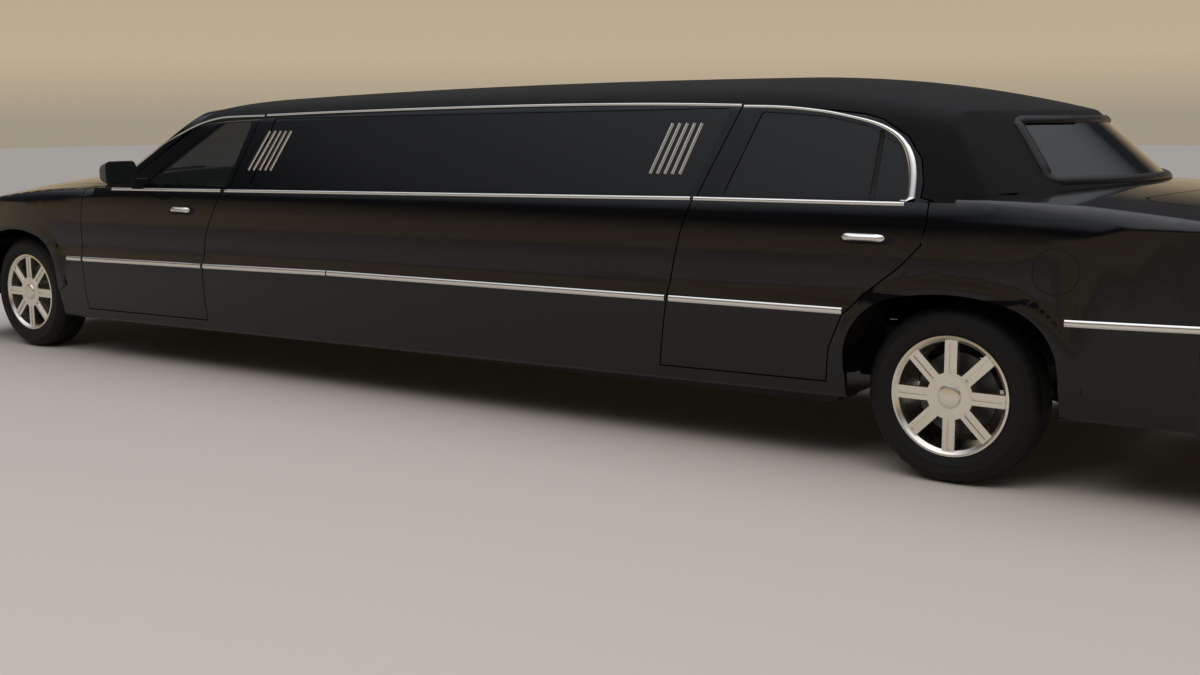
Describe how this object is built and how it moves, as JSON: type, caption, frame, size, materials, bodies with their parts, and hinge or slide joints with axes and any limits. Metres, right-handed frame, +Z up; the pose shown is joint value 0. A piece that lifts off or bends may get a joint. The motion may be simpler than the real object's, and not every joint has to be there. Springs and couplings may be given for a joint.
{
  "type": "stretch limousine",
  "caption": "Long four-door saloon car with an extended middle section, vinyl roof, opening doors, hood and boot lid, steering front wheels and rolling wheels.",
  "frame": {"origin": "on the ground, at the centre of the whole car's plan", "axes": "+X ahead, +Y to the car's left, +Z up"},
  "size_m": [8.519, 2.315, 1.583],
  "materials": {
    "body_paint": "high gloss black",
    "roof_vinyl": "matt grained vinyl",
    "dark_glass": "dark tinted",
    "clear_glass": "lightly tinted",
    "bright_trim": "polished",
    "lamp_lens": "clear lens",
    "red_lens": "red lens",
    "chassis_black": "satin black",
    "engine_metal": "cast",
    "dark_plastic": "moulded",
    "seat_leather": "grained",
    "bar_wood": "lacquered",
    "tyre_rubber": "rubber",
    "wheel_alloy": "bright machined"
  },
  "bodies": {
    "body": {"frame": "chassis_black", "floor_pan": "chassis_black", "stretch_sides": "body_paint", "rear_quarters": "body_paint", "rear_deck": "body_paint", "tail_panel": "body_paint", "roof_shell": "roof_vinyl", "windscreen_frame": "body_paint", "cowl": "body_paint", "front_fenders": "body_paint", "nose_panel": "body_paint", "grille": "bright_trim", "head_lamps": "lamp_lens", "tail_lamps": "red_lens", "front_bumper": "body_paint", "rear_bumper": "body_paint", "windscreen": "clear_glass", "rear_window": "dark_glass", "side_glass": "dark_glass", "front_suspension": "chassis_black", "rear_axle": "chassis_black", "dashboard": "dark_plastic", "steering_wheel": "dark_plastic", "front_seats": "seat_leather", "rear_bench": "seat_leather", "side_bench": "seat_leather", "bar_cabinet": "bar_wood", "partition": "dark_plastic", "engine": "engine_metal", "driveline": "chassis_black", "exhaust": "chassis_black", "fuel_tank": "chassis_black"},
    "hood": {"hood": "body_paint"},
    "boot_lid": {"boot_lid": "body_paint"},
    "knuckle_left": {"knuckle_left": "chassis_black"},
    "knuckle_right": {"knuckle_right": "chassis_black"},
    "wheel_front_left": {"tyre_front_left": "tyre_rubber", "rim_front_left": "wheel_alloy"},
    "wheel_front_right": {"tyre_front_right": "tyre_rubber", "rim_front_right": "wheel_alloy"},
    "wheel_rear_left": {"tyre_rear_left": "tyre_rubber", "rim_rear_left": "wheel_alloy"},
    "wheel_rear_right": {"tyre_rear_right": "tyre_rubber", "rim_rear_right": "wheel_alloy"},
    "front_door_left": {"front_door_left": "body_paint", "front_door_glass_left": "clear_glass", "mirror_left": "dark_plastic"},
    "front_door_right": {"front_door_right": "body_paint", "front_door_glass_right": "clear_glass", "mirror_right": "dark_plastic"},
    "rear_door_left": {"rear_door_left": "body_paint", "rear_door_glass_left": "dark_glass"},
    "rear_door_right": {"rear_door_right": "body_paint", "rear_door_glass_right": "dark_glass"}
  },
  "joints": [
    {"name": "steer_left", "type": "hinge", "parent": "body", "child": "knuckle_left", "pos_m": [3.2945, 0.7, 0.345], "axis": [0, 0, 1], "range_deg": [-33, 33]},
    {"name": "steer_right", "type": "hinge", "parent": "body", "child": "knuckle_right", "pos_m": [3.2945, -0.7, 0.345], "axis": [0, 0, 1], "range_deg": [-33, 33]},
    {"name": "roll_front_left", "type": "hinge", "parent": "knuckle_left", "child": "wheel_front_left", "pos_m": [3.2945, 0.805, 0.345], "axis": [0, 1, 0], "continuous": true},
    {"name": "roll_front_right", "type": "hinge", "parent": "knuckle_right", "child": "wheel_front_right", "pos_m": [3.2945, -0.805, 0.345], "axis": [0, 1, 0], "continuous": true},
    {"name": "roll_rear_left", "type": "hinge", "parent": "body", "child": "wheel_rear_left", "pos_m": [-2.7435, 0.833, 0.345], "axis": [0, 1, 0], "continuous": true},
    {"name": "roll_rear_right", "type": "hinge", "parent": "body", "child": "wheel_rear_right", "pos_m": [-2.7435, -0.833, 0.345], "axis": [0, 1, 0], "continuous": true},
    {"name": "front_door_left_swing", "type": "hinge", "parent": "body", "child": "front_door_left", "pos_m": [2.6015, 0.993, 0.7], "axis": [0, 0, -1], "range_deg": [0, 65]},
    {"name": "front_door_right_swing", "type": "hinge", "parent": "body", "child": "front_door_right", "pos_m": [2.6015, -0.993, 0.7], "axis": [0, 0, 1], "range_deg": [0, 65]},
    {"name": "rear_door_left_swing", "type": "hinge", "parent": "body", "child": "rear_door_left", "pos_m": [-1.4535, 0.993, 0.7], "axis": [0, 0, -1], "range_deg": [0, 65]},
    {"name": "rear_door_right_swing", "type": "hinge", "parent": "body", "child": "rear_door_right", "pos_m": [-1.4535, -0.993, 0.7], "axis": [0, 0, 1], "range_deg": [0, 65]},
    {"name": "hood_lift", "type": "hinge", "parent": "body", "child": "hood", "pos_m": [2.6065, 0, 1.09], "axis": [0, -1, 0], "range_deg": [0, 52]},
    {"name": "boot_lid_lift", "type": "hinge", "parent": "body", "child": "boot_lid", "pos_m": [-3.3035, 0, 1.112], "axis": [0, 1, 0], "range_deg": [0, 75]}
  ],
  "couplings": [
    {"joint": "steer_right", "follows": "steer_left", "ratio": 1}
  ]
}
